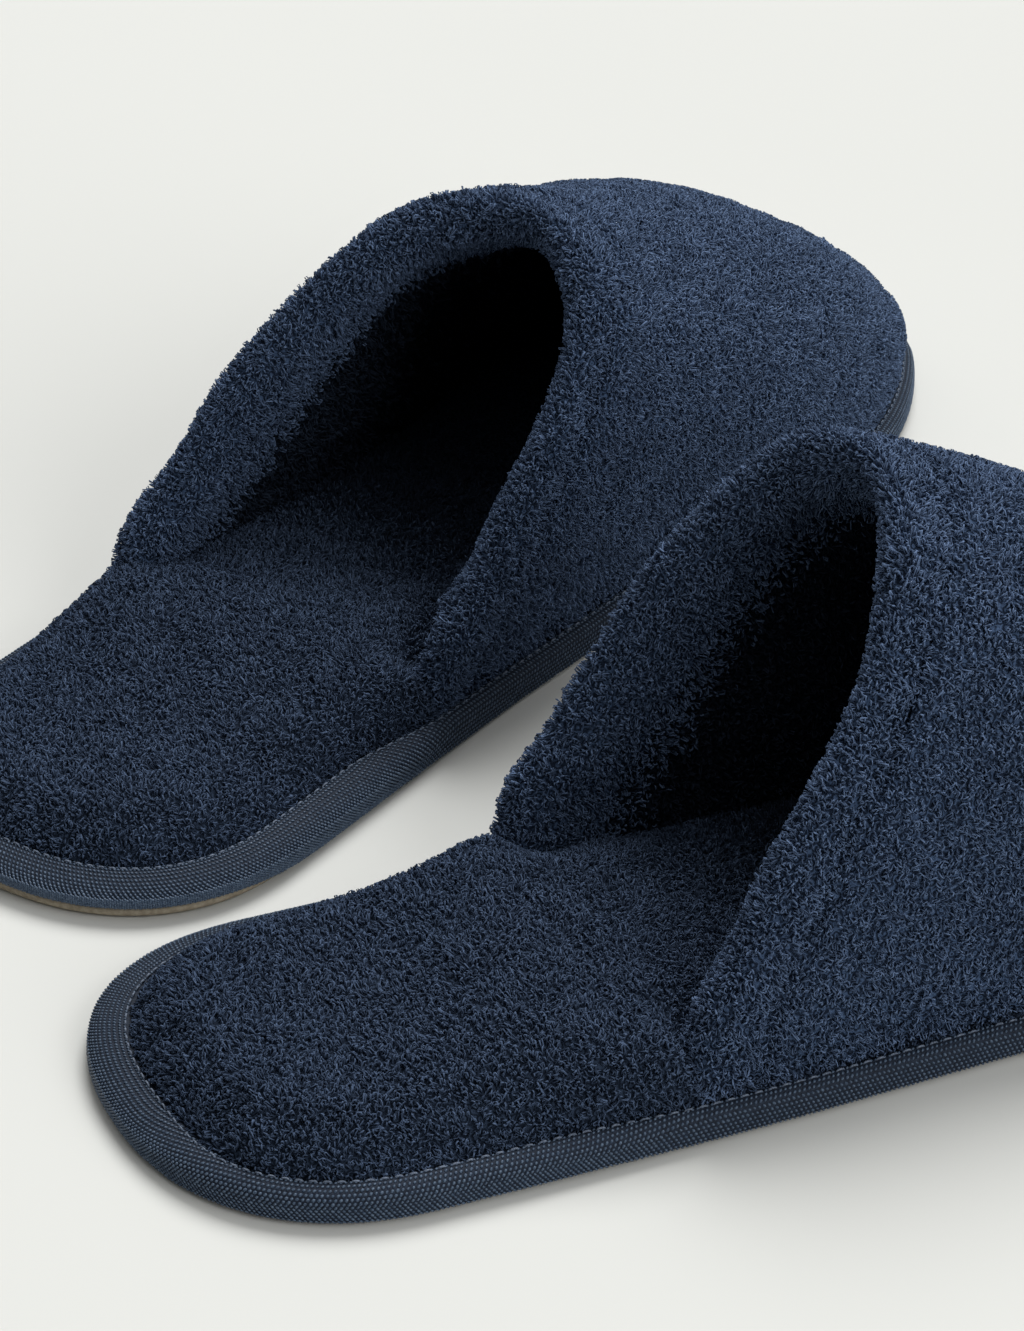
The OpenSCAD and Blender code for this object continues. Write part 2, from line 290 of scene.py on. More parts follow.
# ---------------------------------------------------------------- pile
def scatter(points, faces, density, rng):
    """Random places on the faces, with their normals: density is the loops to the square millimetre."""
    tris = []
    for f in faces:
        f = np.asarray(f)
        tris.append(f[:, :3])
        if f.shape[1] == 4:
            tris.append(f[:, [0, 2, 3]])
    tris = np.concatenate(tris)
    a, b, c = (points[tris[:, k]] for k in range(3))
    area = np.linalg.norm(np.cross(b - a, c - a), axis=1) / 2
    edges = np.concatenate([[0], np.cumsum(area * np.broadcast_to(density, len(points))[tris].mean(1))])
    count = int(edges[-1])
    pick = (np.arange(count) + rng.random(count)) * edges[-1] / count
    t = np.clip(np.searchsorted(edges, pick, side="right") - 1, 0, len(tris) - 1)
    u, v = rng.random(count), rng.random(count)
    flip = u + v > 1
    u[flip], v[flip] = 1 - u[flip], 1 - v[flip]
    w = np.stack([1 - u - v, u, v], 1)
    where = np.einsum("ij,ijk->ik", w, points[tris[t]])
    normal = np.einsum("ij,ijk->ik", w, vertex_normals(points, faces)[tris[t]])
    return where, normal / np.linalg.norm(normal, axis=1, keepdims=True)


LOOP_ANGLES = np.radians([-12, 58, 122, 192])
LOOP_SIDES = 3
# Half the distance between a loop's feet, how deep they sit, and how far the loop twists and falls over
LOOP_SPAN, ROOT_DEPTH, LOOP_TWIST, LOOP_FALL = 0.32, 0.5, 0.2, 0.42
# How much height, span and yarn vary from loop to loop
HEIGHT_RANGE, SPAN_RANGE, YARN_RANGE = (0.6, 1.3), (0.6, 1.5), (0.75, 1.25)


def loops_mesh(where, normal, lean, height, yarn, rng):
    """Terry loops: each is an arched three-sided yarn with both feet in the cloth."""
    n = len(where)
    side = np.cross(normal, rng.normal(size=(n, 3)))
    side /= np.linalg.norm(side, axis=1, keepdims=True)
    depth = np.cross(normal, side)
    fall = lean + (side * rng.normal(size=(n, 1)) + depth * rng.normal(size=(n, 1))) * LOOP_FALL
    h = height * rng.uniform(*HEIGHT_RANGE, (n, 1)) + ROOT_DEPTH
    span = LOOP_SPAN * rng.uniform(*SPAN_RANGE, (n, 1))
    twist = rng.normal(size=(n, len(LOOP_ANGLES))) * LOOP_TWIST
    rings = []
    for k, a in enumerate(LOOP_ANGLES):
        up = max(math.sin(a), 0)
        centre = where - normal * ROOT_DEPTH + side * span * math.cos(a) + depth * twist[:, k : k + 1] * up
        rings.append(centre + (normal + fall) * h * up)
    rings = np.stack(rings, 1)
    along = np.gradient(rings, axis=1)
    along /= np.linalg.norm(along, axis=2, keepdims=True)
    e1 = depth[:, None, :] - along * np.einsum("ijk,ik->ij", along, depth)[:, :, None]
    e1 /= np.maximum(np.linalg.norm(e1, axis=2, keepdims=True), 1e-9)
    e2 = np.cross(along, e1)
    r = yarn * rng.uniform(*YARN_RANGE, (n, 1, 1))
    corners = [2 * math.pi * k / LOOP_SIDES for k in range(LOOP_SIDES)]
    pts = np.stack([rings + r * (e1 * math.cos(b) + e2 * math.sin(b)) for b in corners], 2)
    m = len(LOOP_ANGLES)
    base = np.arange(n)[:, None, None] * (m * LOOP_SIDES)
    quads = (base + grid_faces(m, LOOP_SIDES, wrap=True)[None]).reshape(-1, 4)
    foot = np.arange(LOOP_SIDES)
    caps = (base + np.array([foot[::-1], foot + (m - 1) * LOOP_SIDES])[None]).reshape(-1, LOOP_SIDES)
    return pts.reshape(-1, 3), [quads, caps]


TONES = ("dark", "mid", "light")
MOST_LOOPS = 9500
# Size and strength of the patches where loops lean one way, and of those where one shade is commoner
LEAN_PATCH, TONE_PATCH, TONE_EDGES = (9.0, 0.38), (6.0, 0.16), (0.34, 0.76)


def pile(name, surfaces, side, seed, fit, shades):
    """Loop pile over surfaces of (points, faces, density, height, yarn), in pieces of one shade each."""
    rng = np.random.default_rng(seed)
    sown = []
    for points, faces, density, height, yarn in surfaces:
        where, normal = scatter(points, faces, density, rng)
        sown.append([where, normal, np.full((len(where), 1), height), np.full((len(where), 1, 1), yarn)])
    where, normal, height, yarn = (np.concatenate(part) for part in zip(*sown))
    order = rng.permutation(len(where))
    where, normal, height, yarn = where[order], normal[order], height[order], yarn[order]
    lean = LEAN_PATCH[1] * np.stack([lumps(where, LEAN_PATCH[0], seed + k) for k in range(3)], 1)
    lean -= normal * np.einsum("ij,ij->i", lean, normal)[:, None]
    patch = TONE_PATCH[1] * lumps(where, TONE_PATCH[0], seed + 5)
    tone = np.digitize(rng.random(len(where)) + patch, TONE_EDGES)
    for k, label in enumerate(TONES):
        mine = np.flatnonzero(tone == k)
        for part, chosen in enumerate(np.array_split(mine, math.ceil(len(mine) / MOST_LOOPS))):
            sample = (v[chosen] for v in (where, normal, lean, height, yarn))
            obj = new_mesh(f"{side}_{name}_{label}_{part}", *loops_mesh(*sample, rng), side, shades[label])
            fit(obj)


# ---------------------------------------------------------------- materials
def material(name, colour, roughness, sheen=0.0, specular=0.25):
    """New material: returns it with its node tree and its shader."""
    m = bpy.data.materials.new(name)
    m.use_nodes = True
    shader = m.node_tree.nodes["Principled BSDF"]
    shader.inputs["Base Color"].default_value = (*colour, 1)
    shader.inputs["Roughness"].default_value = roughness
    shader.inputs["Sheen Weight"].default_value = sheen
    shader.inputs["Specular IOR Level"].default_value = specular
    return m, m.node_tree, shader


def ramp(tree, value, stops):
    """Colours between stops of (position, colour)."""
    node = tree.nodes.new("ShaderNodeValToRGB")
    elements = node.color_ramp.elements
    while len(elements) < len(stops):
        elements.new(0.5)
    for element, (at, colour) in zip(elements, stops):
        element.position = at
        element.color = (*colour, 1)
    tree.links.new(value, node.inputs["Fac"])
    return node.outputs["Color"]


def noise(tree, scale, detail=3.0, distortion=0.0):
    """Noise fixed to the piece, scale features to the metre."""
    node = tree.nodes.new("ShaderNodeTexNoise")
    node.inputs["Scale"].default_value = scale
    node.inputs["Detail"].default_value = detail
    node.inputs["Distortion"].default_value = distortion
    tree.links.new(tree.nodes.new("ShaderNodeTexCoord").outputs["Object"], node.inputs["Vector"])
    return node.outputs["Fac"]


def sums(tree, operation, a, b=None):
    """Math node on sockets or numbers."""
    node = tree.nodes.new("ShaderNodeMath")
    node.operation = operation
    for socket, value in zip(node.inputs, (a, b)):
        if isinstance(value, (int, float)):
            socket.default_value = value
        elif value is not None:
            tree.links.new(value, socket)
    return node.outputs[0]


def add_bump(tree, shader, height, strength, distance):
    """Fine relief from a height socket."""
    bump = tree.nodes.new("ShaderNodeBump")
    bump.inputs["Strength"].default_value = strength
    bump.inputs["Distance"].default_value = distance
    tree.links.new(height, bump.inputs["Height"])
    tree.links.new(bump.outputs["Normal"], shader.inputs["Normal"])


def speckled(name, dark, light, scale, roughness, bump_mm, sheen=0.0):
    """Matt material with a fine grain of two colours and a matching relief."""
    m, tree, shader = material(name, light, roughness, sheen)
    grain = noise(tree, scale)
    tree.links.new(ramp(tree, grain, [(0.36, dark), (0.66, light)]), shader.inputs["Base Color"])
    add_bump(tree, shader, grain, 0.7, bump_mm * MM)
    return m


CURLS, CURL_RINGS, CURL_WOBBLE = 620.0, 15.0, (900.0, 9.0)


def terry_ground(name, dark, light):
    """Cloth between the loops: little curls, each a few rings of yarn around its own centre."""
    m, tree, shader = material(name, light, 0.95, 0.0, 0.05)
    cells = tree.nodes.new("ShaderNodeTexVoronoi")
    cells.inputs["Scale"].default_value = CURLS
    tree.links.new(tree.nodes.new("ShaderNodeTexCoord").outputs["Object"], cells.inputs["Vector"])
    wobble = sums(tree, "MULTIPLY", noise(tree, CURL_WOBBLE[0], 2.0), CURL_WOBBLE[1])
    turns = sums(tree, "ADD", sums(tree, "MULTIPLY", cells.outputs["Distance"], CURL_RINGS), wobble)
    curl = sums(tree, "ADD", sums(tree, "MULTIPLY", sums(tree, "SINE", turns), 0.5), 0.5)
    tree.links.new(ramp(tree, curl, [(0.1, dark), (0.95, light)]), shader.inputs["Base Color"])
    add_bump(tree, shader, curl, 0.8, 0.35 * MM)
    return m


def yarn_material(tone, colour):
    """Cotton yarn: fibres show in the relief and in the uneven shine."""
    m, tree, shader = material(f"terry_yarn_{tone}", colour, 0.9, 0.0, 0.08)
    fibres = noise(tree, 5200.0, 2.0, 0.6)
    tree.links.new(sums(tree, "ADD", sums(tree, "MULTIPLY", fibres, 0.3), 0.65), shader.inputs["Roughness"])
    add_bump(tree, shader, fibres, 0.5, 0.08 * MM)
    return m


def yarns(part, shade):
    """The three yarn shades of one part of the slipper, made darker or lighter together."""
    made = {}
    for tone, colour in YARN_COLOURS.items():
        made[tone] = yarn_material(f"{part}_{tone}", tuple(c * shade for c in colour))
    return made


YARN_COLOURS = {"dark": (0.059, 0.089, 0.154), "mid": (0.083, 0.125, 0.214), "light": (0.115, 0.170, 0.286)}
# Each part's yarns are the upper's three shades, scaled: the insole's darker, and the inner set is painted
# shade, very dark yarns that stand in for the shade inside the shoe
UPPER_YARNS, INSOLE_YARNS, PAINTED_SHADE_YARNS = yarns("upper", 1.0), yarns("insole", 0.62), yarns("inner", 0.22)
GROUND = terry_ground("terry_ground", (0.012, 0.019, 0.036), (0.054, 0.088, 0.160))
PAD = terry_ground("insole_ground", (0.009, 0.014, 0.025), (0.028, 0.043, 0.074))
# The lining's ground is painted shade: the terry ground made several times darker, for the shade inside the
# shoe
LINING_PAINTED_SHADE = terry_ground("lining_ground_painted_shade", (0.003, 0.005, 0.009), (0.012, 0.018, 0.031))
TAPE = speckled("binding_tape", (0.005, 0.009, 0.018), (0.014, 0.023, 0.042), 1800.0, 0.8, 0.06)
FLOAT = speckled("binding_tape_floats", (0.034, 0.057, 0.098), (0.100, 0.142, 0.205), 2400.0, 0.4, 0.04)
THREAD = speckled("sewing_thread", (0.05, 0.07, 0.11), (0.16, 0.20, 0.27), 2600.0, 0.5, 0.05, 0.1)
OUTSOLE = speckled("outsole", (0.26, 0.22, 0.16), (0.38, 0.33, 0.25), 900.0, 0.8, 0.12)
FOAM = speckled("sole_foam", (0.42, 0.42, 0.40), (0.62, 0.62, 0.60), 1500.0, 0.9, 0.15)
PADDING = speckled("padding_foam", (0.50, 0.49, 0.44), (0.72, 0.71, 0.66), 1100.0, 0.95, 0.25)
BOARD = speckled("insole_board", (0.24, 0.16, 0.09), (0.40, 0.29, 0.18), 700.0, 0.85, 0.08)


# ---------------------------------------------------------------- sole
# Distance between floats along and across the tape, and the row where their slant turns
WEAVE, ROW, TURN_ROW = 0.95, 0.97, 5
# A float: its length, half width, half height and how deep it sits, then each row's shift and slant
FLOAT_L, FLOAT_W, FLOAT_H, FLOAT_IN = 0.84, 0.25, 0.19, 0.08
FLOAT_SHIFT, FLOAT_SLANT = 0.5, 0.8
# How much the wide lip slopes, the height above which the tape keeps its place, and where the lip is widest
LIP_SLOPE, KNEE_Z = 0.15, 4.4
LIP_END, LIP_OUTER, LIP_RUN = 95, -32, 30
# Tape's lower edge: at rest and how much it rises, and the stations between which it does
TAPE_LOW, TAPE_RISE, RISE_END, RISE_RUN = 0.3, 2.0, 52, 34


def heel_share(x, side):
    """How far the left tape has risen off the floor at station x, from 0 to 1: the right one stays down."""
    x = np.asarray(x, float)
    return smooth((RISE_END - x) / RISE_RUN) if side == "left" else 0 * x


def tape_low(x, side):
    """Height of the tape's lower edge: it stops short of the floor at the back of the left heel."""
    return TAPE_LOW + TAPE_RISE * heel_share(x, side)


def lip_more(x, y):
    """How much wider than LIP_W the tape's lip is: most on the inner side and at the back of the heel."""
    inner = smooth((y - LIP_OUTER) / LIP_RUN)
    return smooth((LIP_END - x) / LIP_RUN) * (LIP_MORE[0] + LIP_MORE[1] * inner)


def tape_path(side):
    """Tape's outer face from its lower edge to the lip.

    Returns lengths along it, then (distance inside, height) and the direction at each."""
    path = [[0.7, 0.05], [0.25, 0.15], [0, 0.6], [-0.1, 2.0], [-0.1, 3.6], [0.05, 4.9], [0.45, 5.9]]
    path = np.array(path + [[1.15, 6.6], [2.0, 6.85], [2.8, 6.8], [3.4, 6.4]])
    path[:, 1] *= TAPE_TOPS[side] / 6.8
    length = np.concatenate([[0], np.cumsum(np.linalg.norm(np.diff(path, axis=0), axis=1))])
    at = np.linspace(0, length[-1], 45)
    outer = np.column_stack([np.interp(at, length, path[:, k]) for k in (0, 1)])
    for _ in range(3):
        outer[1:-1] = (outer[:-2] + 2 * outer[1:-1] + outer[2:]) / 4
    tangent = np.gradient(outer, axis=0)
    tangent /= np.linalg.norm(tangent, axis=1, keepdims=True)
    return at, outer, tangent


def tape_place(q, inward, d, z, side):
    """Points of the tape at distance d inside and height z, with the sewn edge's slight waves."""
    low = tape_low(q[:, 0], side)
    wave = 0.2 * lumps(np.column_stack([q, np.zeros(len(q))]), 46.0, 3 if side == "right" else 8)
    lift = wave * np.clip((z - 2) / 3, 0, 1)
    more = lip_more(q[:, 0], q[:, 1])
    z = z * (1 - LIP_SLOPE * more / sum(LIP_MORE) * (1 - smooth(d / LIP_W)))
    d = d * (1 + np.where(d > 0.1, 1, 0) * more / LIP_W)
    height = np.where(z < KNEE_Z, low + z * (KNEE_Z - low) / KNEE_Z, z) + lift
    return np.column_stack([q + inward * (d + 0.8 * lift)[:, None], height])


def binding_tape(side):
    """Tape around the sole, folded over the insole's edge into a lip."""
    n = 720
    q, inward, _, _ = even_outline(n)
    _, outer, _ = tape_path(side)
    top = TAPE_TOPS[side]
    inner = np.array([[3.4, top - 0.8], [2.2, top - 0.7], [1.3, top - 1.5], [0.9, 3.0], [0.9, 0.3]])
    section = np.vstack([outer, inner])
    m = len(section)
    points = np.vstack([tape_place(q, inward, np.full(n, d), np.full(n, z), side) for d, z in section])
    faces = grid_faces(m, n, wrap=True)
    j = np.arange(n)
    close = np.column_stack([j + (m - 1) * n, (j + 1) % n + (m - 1) * n, (j + 1) % n, j])
    return new_mesh(f"{side}_binding_tape", points, [np.vstack([faces, close])[:, ::-1]], side, TAPE)


def tape_floats(side):
    """Raised floats of the herringbone weave: a bead for each, slanting one way above and the other below.

    The rows keep their distance, so more of them show where the lip is wide."""
    q, inward, at, total = even_outline(1400)
    length, outer, tangent = tape_path(side)
    lip_at = length[np.argmax(outer[:, 0] > 0.1)]
    widest = 1 + sum(LIP_MORE) / LIP_W
    count = int(total / WEAVE)
    rng = np.random.default_rng(17 if side == "right" else 18)
    tangent_xy = np.column_stack([inward[:, 1], -inward[:, 0]])
    rings = ((-0.5, 0.0), (-0.25, 1.0), (0.25, 1.0), (0.5, 0.0))
    beads = []
    for row in range(int((lip_at + (length[-1] - lip_at) * widest) / ROW)):
        reach = (row + 0.6) * ROW
        where = ((np.arange(count) + FLOAT_SHIFT * abs(row - TURN_ROW)) * total / count) % total
        line = np.column_stack([np.interp(where, at, q[:, i], period=total) for i in (0, 1)])
        stretch = 1 + lip_more(line[:, 0], line[:, 1]) / LIP_W
        along_path = np.where(reach < lip_at, reach, lip_at + (reach - lip_at) / stretch)
        kept = along_path < length[-1] - 0.2
        where, line, along_path = where[kept], line[kept], along_path[kept]
        norm = np.column_stack([np.interp(where, at, inward[:, i], period=total) for i in (0, 1)])
        tang = np.column_stack([np.interp(where, at, tangent_xy[:, i], period=total) for i in (0, 1)])
        norm /= np.linalg.norm(norm, axis=1, keepdims=True)
        tang /= np.linalg.norm(tang, axis=1, keepdims=True)
        d, z, td, tz = (np.interp(along_path, length, v) for v in (*outer.T, *tangent.T))
        centre = tape_place(line, norm, d, z, side)
        along = np.column_stack([tang, np.zeros(len(line))])
        up = np.column_stack([norm * td[:, None], tz])
        face = np.column_stack([-norm * tz[:, None], td])
        axis = along + up * (FLOAT_SLANT if row > TURN_ROW else -FLOAT_SLANT)
        axis /= np.linalg.norm(axis, axis=1, keepdims=True)
        cross = np.cross(face, axis)
        size = rng.uniform(0.85, 1.12, (len(line), 1))
        centre = centre + face * FLOAT_IN
        bead = []
        for s, fat in rings:
            spot = centre + axis * (s * FLOAT_L * size)
            if fat == 0.0:
                bead.append((spot - face * FLOAT_IN)[:, None])
                continue
            for b in range(4):
                angle = math.pi / 2 * b
                reach_out = cross * (FLOAT_W * math.cos(angle)) + face * (FLOAT_H * math.sin(angle))
                bead.append((spot + reach_out * fat * size)[:, None])
        beads.append(np.concatenate(bead, 1))
    beads = np.concatenate(beads)
    per = beads.shape[1]
    middle = grid_faces(2, 4, wrap=True, first=1)
    b = np.arange(4)
    tips = np.concatenate(
        [
            np.column_stack([np.zeros(4, int), 1 + (b + 1) % 4, 1 + b]),
            np.column_stack([np.full(4, per - 1), 5 + b, 5 + (b + 1) % 4]),
        ]
    )
    base = np.arange(len(beads))[:, None, None] * per
    quads = (base + middle[None]).reshape(-1, 4)
    tris = (base + tips[None]).reshape(-1, 3)
    return new_mesh(f"{side}_binding_floats", beads.reshape(-1, 3), [quads, tris], side, FLOAT)


def stitches(side):
    """Row of separate stitches that holds the tape's lip down."""
    pitch, reach, radius = 2.7, 2.0, 0.2
    q, inward, at, total = even_outline(420)
    count = int(total / pitch)
    rings, sides = 7, 6
    s = np.linspace(-0.5, 0.5, rings)
    where = (np.arange(count)[:, None] * pitch + s[None] * reach).ravel() % total
    line = np.column_stack([np.interp(where, at, q[:, k], period=total) for k in (0, 1)])
    normal = np.column_stack([np.interp(where, at, inward[:, k], period=total) for k in (0, 1)])
    line = line + normal * (LIP_W - 1.0 + lip_more(line[:, 0], line[:, 1]))[:, None]
    z = np.tile(TAPE_TOPS[side] + 0.2 - 0.5 * (2 * np.abs(s)) ** 4, count)
    fat = np.tile(radius * np.sqrt(np.clip(1 - (1.9 * s) ** 6, 0.15, 1)), count)
    points = []
    for k in range(sides):
        b = 2 * math.pi * k / sides
        out = (math.cos(b) * fat)[:, None]
        points.append(np.column_stack([line + normal * out, z + math.sin(b) * fat]))
    points = np.stack(points, 1).reshape(-1, 3)
    base = np.arange(count)[:, None, None] * rings * sides
    quads = (base + grid_faces(rings, sides, wrap=True)[None]).reshape(-1, 4)
    end = np.arange(sides)
    caps = (base + np.array([end[::-1], end + (rings - 1) * sides])[None]).reshape(-1, sides)
    return new_mesh(f"{side}_binding_stitches", points, [quads, caps], side, THREAD)


def span_caps(first, n, up):
    """Faces that fill a ring of 4n points from side to side: point n is the toe's tip, 3n the back."""
    w = 4 * n
    i = np.arange(2 * n)
    a, b, c, d = (n - i) % w, (n - i - 1) % w, (n + i) % w, (n + i + 1) % w
    quads = np.column_stack([a, c, d, b])[1:-1] + first
    tris = np.array([[c[0], d[0], b[0]], [a[-1], c[-1], d[-1]]]) + first
    return [quads, tris] if up else [quads[:, ::-1], tris[:, ::-1]]


# A quarter of the points round a layer, where its flat middle starts and where its edge is
SOLE_N, CORE_IN, EDGE_IN = 60, 20, 1.5
# Lower and upper face of the hidden layers, as in the CAD part
MIDSOLE_Z, BOARD_Z = (2.1, 3.7), (4.0, 4.6)


def sole_layer(side, name, rows, mat):
    """Closed layer of the sole: rows of points from under its middle, round the edge, to its top."""
    last = (len(rows) - 1) * 4 * SOLE_N
    faces = [grid_faces(len(rows), 4 * SOLE_N, wrap=True)]
    faces += span_caps(0, SOLE_N, False) + span_caps(last, SOLE_N, True)
    return new_mesh(f"{side}_{name}", np.vstack(rows), faces, side, mat)


def flat_layer(side, name, heights, mat):
    """Layer between the outsole and the insole cover, inside the tape."""
    low, high = heights
    edge = min(0.3, (high - low) / 4)
    rows = []
    section = ((CORE_IN, low), (EDGE_IN + edge, low), (EDGE_IN, low + edge))
    section += ((EDGE_IN, high - edge), (EDGE_IN + edge, high), (CORE_IN, high))
    for d, z in section:
        r = ring(d, SOLE_N)
        if d < CORE_IN:
            r = r + (ring(d + 1.0, SOLE_N) - r) * 0.45 * lip_more(r[:, 0], r[:, 1])[:, None]
        rows.append(np.column_stack([r, np.full(4 * SOLE_N, z)]))
    return sole_layer(side, name, rows, mat)


def outsole(side):
    """Thin sole with rounded edges, set back behind the tape where the tape covers it."""
    top, set_back = 1.95, 0.8
    section = [(CORE_IN, 0.0), (6, 0.0), (1.6, 0.0), (0.9, 0.2), (0.7, 0.6), (0.7, 1.6), (1.1, top)]
    section += [(8, top), (CORE_IN, top)]
    rows = []
    for d, z in section:
        r = ring(d, SOLE_N)
        if d < 5:
            back = set_back - set_back * heel_share(r[:, 0], side)
            r = r + (ring(d + 1.0, SOLE_N) - r) * back[:, None]
        rows.append(np.column_stack([r, np.full(4 * SOLE_N, z)]))
    return sole_layer(side, "outsole", rows, OUTSOLE)


# Insets of the insole cover's rows, then of its flange under the lip with its drop, None on the underside
INSETS = (3.5, 3.7, 4.1, 4.8, 5.9, 7.4, 9.4, 12, 15.5, 19.5, 24, 28.5, 33, 37, 41)
FLANGE = ((3.5, -1.0), (2.8, -1.4), (2.8, None), (20, None), (41, None))
# The pad's underside and crown, then how much more it is puffed, and at which station and over what run
PAD_Z, PAD_CROWN = 4.7, 12.3
PAD_MORE, PUFF_X, PUFF_RUN = 5.0, 84, 27
# Where the upper stands on the pad and presses it flat: from the edge to WALL_IN, from station WALL_X on
WALL_IN, WALL_X, WALL_RUN = 11.0, 87, 12
# Loops to the square millimetre on the insole, thinned inside the toe, and where the darker loops of
# painted shade start
INSOLE_LOOPS, INSOLE_FEWER, THIN_X, THIN_RUN = 2.1, 1.9, 150, 35
SHADE_X, SHADE_RUN, SHADE_SHARE = 112, 36, 0.7
# Size and height of the pad's waves, and a quarter of the points round one of its rows
PAD_WAVES, RING_N = (36.0, 0.45), 64


def pad_height(x, d, side):
    """Height of the insole's cloth: puffed at the heel, pressed flat where the upper stands on it."""
    low = TAPE_TOPS[side] - 0.5
    in_lip, in_wall = np.maximum(d - INSETS[0], 0), np.maximum(d - WALL_IN, 0)
    crown = PAD_CROWN + PAD_MORE * np.exp(-(((x - PUFF_X) / PUFF_RUN) ** 2))
    heel = low + (crown - low) * (1 - np.exp(-in_lip / 1.8))
    vamp = low + 1.0 * (1 - np.exp(-in_lip)) + (crown - low - 1.0) * (1 - np.exp(-in_wall / 3.0))
    return heel + (vamp - heel) * smooth((x - WALL_X) / WALL_RUN)


def pad_ring(d):
    """Outline of the insole's cloth: it starts at the lip's inner edge and evens out towards the middle."""
    r = ring(d, RING_N)
    if d < INSETS[0]:
        return r
    more = lip_more(r[:, 0], r[:, 1]) * (1 - smooth((d - INSETS[0]) / 20))
    return r + (ring(d + 1.0, RING_N) - r) * more[:, None]


def insole(side, seed, fit, thread_fit):
    """Closed cover: puffed top, a flange under the lip and a flat underside. Then the pile on its top."""
    w = 4 * RING_N
    top = []
    for d in INSETS:
        r = pad_ring(d)
        top.append(np.column_stack([r, pad_height(r[:, 0], d, side)]))
    heights = [PAD_Z if drop is None else TAPE_TOPS[side] + drop for _, drop in FLANGE]
    below = [np.column_stack([pad_ring(d), np.full(w, z)]) for (d, _), z in zip(FLANGE, heights)]
    rows = np.array(top + below)
    points = rows.reshape(-1, 3)
    edge = len(INSETS)
    j = np.arange(w)
    bridge = np.column_stack([edge * w + j, edge * w + (j + 1) % w, (j + 1) % w, j])
    under = grid_faces(len(FLANGE), w, wrap=True, first=edge * w)[:, ::-1]
    shell = [grid_faces(edge, w, wrap=True), bridge, under]
    shell += span_caps((edge - 1) * w, RING_N, True) + span_caps((len(rows) - 1) * w, RING_N, False)
    held = np.repeat((np.arange(len(rows)) >= edge) | (np.arange(len(rows)) < 2), w).astype(float)
    pressed = smooth((points[:, 0] - 150) / 40)
    points = inflate(points, shell, np.maximum(held, pressed), 3.0, 1.6)
    points[:, 2] += PAD_WAVES[1] * lumps(points, PAD_WAVES[0], seed) * (1 - held)
    obj = new_mesh(f"{side}_insole_cover", points, shell, side, PAD)
    fit(obj)
    # The pile grows on a finer copy of the top, with small lumps of its own
    fine = finer(finer(points.reshape(rows.shape)[:edge], 0), 1, wrap=True)
    flat = fine.reshape(-1, 3)
    flat[:, 2] += FINE_LUMPS[1] * lumps(flat, FINE_LUMPS[0], seed + 1)
    faces = [grid_faces(len(fine), 2 * w, wrap=True)]
    faces += span_caps((len(fine) - 1) * 2 * w, 2 * RING_N, True)
    # Past SHADE_X the loops take the very dark yarns: painted shade under the vamp
    inner = smooth((flat[:, 0] - SHADE_X) / SHADE_RUN)
    density = INSOLE_LOOPS - INSOLE_FEWER * smooth((flat[:, 0] - THIN_X) / THIN_RUN)
    lit = (flat, faces, density * (1 - inner), 1.1, 0.15)
    shaded = (flat, faces, SHADE_SHARE * density * inner, 1.1, 0.17)
    pile("insole_pile", [lit], side, seed + 2, thread_fit, INSOLE_YARNS)
    pile("insole_inner_pile", [shaded], side, seed + 9, thread_fit, PAINTED_SHADE_YARNS)


# ---------------------------------------------------------------- upper
ARCH_STEPS, LENGTH_STEPS, EDGE_STEPS = 72, 56, 10
# How far the middle of the cloth lies below the CAD's face, and how much of the way to the toe it goes
SHEET_D, TOE_REACH = 0.9, 0.988
# Distance into the shoe where the lining's loops of painted shade start, and the run over which they take
# over
LINING_LIT = (1.0, 12.0)
# Sewn furrow behind the collar: distance from its edge, half width and depth
FURROW = (12.0, 1.7, 1.5)
# The foam's depth below the cover, and how many rows short of the toe it ends
FOAM_IN, FOAM_END = CLOTH_T + FURROW[2] + 0.2, 10
# Loops of each cloth: how many to the square millimetre, their height and the yarn's radius
COVER_LOOPS, COLLAR_LOOPS, LINING_LOOPS = (1.8, 1.1, 0.15), (2.0, 1.3, 0.155), (1.6, 1.1, 0.17)
# How far each slipper's outer and inner wing reach back past the CAD's curve, in millimetres
WING_BACK = {"right": (0.0, 1.8), "left": (7.5, 0.0)}
# How the uppers have settled. Right: rise, more rise further on and over what run, lean and its power.
# Left: puff over the toes, its distance from the collar and half width, and sag
RIGHT_RISE, RIGHT_MORE, RIGHT_RUN, RIGHT_LEAN, LEAN_POWER = 0.8, 2.6, 40, 7.5, 1.3
LEFT_PUFF, LEFT_PUFF_AT, LEFT_PUFF_W, LEFT_SAG = 7.0, 82, 32, 2.8
# The hem's tuck and drop, and how high up they fade
HEM_TUCK, HEM_DROP, HEM_RUN = 1.2, 2.0, 3.0
# Size and height of the cloth's slow waves and of its small lumps
WAVES, SMALL_WAVES, FINE_LUMPS = (44.0, 0.7), (17.0, 0.3), (5.5, 0.22)


